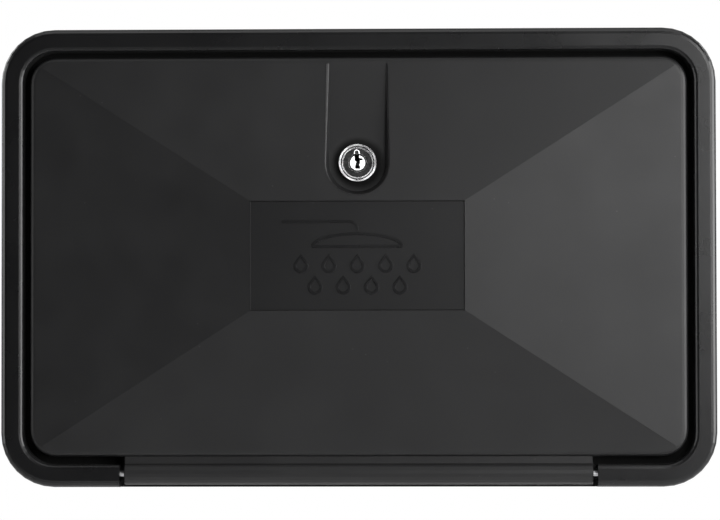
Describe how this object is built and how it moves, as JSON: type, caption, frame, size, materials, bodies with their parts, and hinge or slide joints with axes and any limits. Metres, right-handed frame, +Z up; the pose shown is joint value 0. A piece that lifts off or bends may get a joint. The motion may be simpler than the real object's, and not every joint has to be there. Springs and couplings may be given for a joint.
{
  "type": "rv exterior shower box",
  "caption": "Recessed moulded shower box with a faceted lockable door on a bottom hinge, hot and cold valves and a hand shower inside.",
  "frame": {"origin": "centre of the wall's cut-out, on the wall's outer face", "axes": "+Z up, -Y out of the wall towards the user, +X to the right of someone facing the door"},
  "size_m": [0.3366, 0.1495, 0.216],
  "materials": {
    "black_abs": "fine moulded texture, satin",
    "black_rubber": "matte",
    "chrome": "bright plated",
    "steel": "drawn rod, dull",
    "zinc": "zinc plated",
    "brass": "turned",
    "white_nylon": "moulded",
    "hot_red": "glossy",
    "cold_blue": "glossy"
  },
  "bodies": {
    "case": {"housing": "black_abs", "keeper": "black_abs", "door_seal": "black_rubber", "hinge_pin": "steel", "faucet_body": "chrome", "hot_shank": "brass", "cold_shank": "brass", "hot_shank_washer": "black_rubber", "cold_shank_washer": "black_rubber", "hot_shank_nut": "white_nylon", "cold_shank_nut": "white_nylon", "hot_bonnet": "brass", "cold_bonnet": "brass", "vacuum_breaker": "chrome", "hand_shower_body": "black_abs", "spray_plate": "white_nylon", "spray_bezel": "chrome", "shower_clip": "black_abs", "clip_screw_upper": "zinc", "clip_screw_lower": "zinc"},
    "door_leaf": {"door": "black_abs", "lock_barrel": "chrome", "lock_nut": "zinc"},
    "lock_core": {"lock_plug": "chrome", "lock_cam": "zinc", "cam_screw": "zinc"},
    "hot_valve": {"hot_stem": "brass", "hot_knob": "chrome", "hot_knob_screw": "zinc", "hot_index_cap": "hot_red"},
    "cold_valve": {"cold_stem": "brass", "cold_knob": "chrome", "cold_knob_screw": "zinc", "cold_index_cap": "cold_blue"},
    "switch_slide": {"flow_switch": "chrome"}
  },
  "joints": [
    {"name": "door_hinge", "type": "hinge", "parent": "case", "child": "door_leaf", "pos_m": [0, -0.0089, -0.10135], "axis": [1, 0, 0], "range_deg": [0, 170]},
    {"name": "lock_turn", "type": "hinge", "parent": "door_leaf", "child": "lock_core", "pos_m": [0, -0.0139, 0.0443], "axis": [0, -1, 0], "range_deg": [0, 90]},
    {"name": "hot_turn", "type": "hinge", "parent": "case", "child": "hot_valve", "pos_m": [-0.0958, 0.0447, -0.015], "axis": [0, -1, 0], "range_deg": [0, 90]},
    {"name": "cold_turn", "type": "hinge", "parent": "case", "child": "cold_valve", "pos_m": [0.0058, 0.0447, -0.015], "axis": [0, -1, 0], "range_deg": [0, 90]},
    {"name": "flow_slide", "type": "slide", "parent": "case", "child": "switch_slide", "axis": [1, 0, 0], "range_m": [0, 0.006]}
  ]
}
